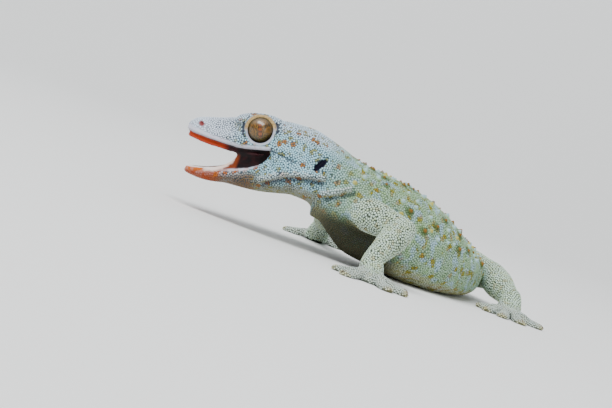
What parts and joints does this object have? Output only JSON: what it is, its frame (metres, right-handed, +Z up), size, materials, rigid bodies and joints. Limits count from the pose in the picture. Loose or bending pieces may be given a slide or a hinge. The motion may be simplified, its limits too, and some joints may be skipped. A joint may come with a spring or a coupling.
{
  "type": "tokay gecko",
  "caption": "Life-size still model of a tokay gecko: broad head with wide-open mouth, warty back curving away, splayed padded toes and tapering tail, resting on its belly, feet and tail.",
  "frame": {"origin": "on the floor under the middle of the animal's box", "axes": "+Z up; the head faces -X with the animal's left side towards -Y; the trunk curves round to run towards +Y"},
  "size_m": [0.1206, 0.2552, 0.0339],
  "materials": {
    "head_skin": "beady scaled skin, pale blue-grey to lilac with olive and orange flecks",
    "jaw_skin": "scaled skin, pinkish lip with orange-brown blotches",
    "mouth_flesh": "moist dark red flesh",
    "eye": "wet gloss, golden olive with an upright dark pupil",
    "body_skin": "granular skin, blue-green grey with orange-brown and pale blue spots",
    "tail_skin": "granular skin in rings, blue-grey with pale bands",
    "limb_skin": "granular skin, green-grey with a fine dark net",
    "foot_skin": "granular skin, grey-white with yellow toe tips"
  },
  "bodies": {
    "root": {"head": "head_skin", "lower_jaw": "jaw_skin", "tongue": "mouth_flesh", "eye_left": "eye", "eye_right": "eye", "neck": "body_skin", "torso_front": "body_skin", "torso_rear": "body_skin", "tail_base": "tail_skin", "tail_middle": "tail_skin", "tail_tip": "tail_skin", "upper_arm_left": "limb_skin", "forearm_left": "limb_skin", "hand_left": "foot_skin", "thigh_left": "limb_skin", "shin_left": "limb_skin", "foot_left": "foot_skin", "upper_arm_right": "limb_skin", "forearm_right": "limb_skin", "hand_right": "foot_skin", "thigh_right": "limb_skin", "shin_right": "limb_skin", "foot_right": "foot_skin"}
  },
  "joints": []
}
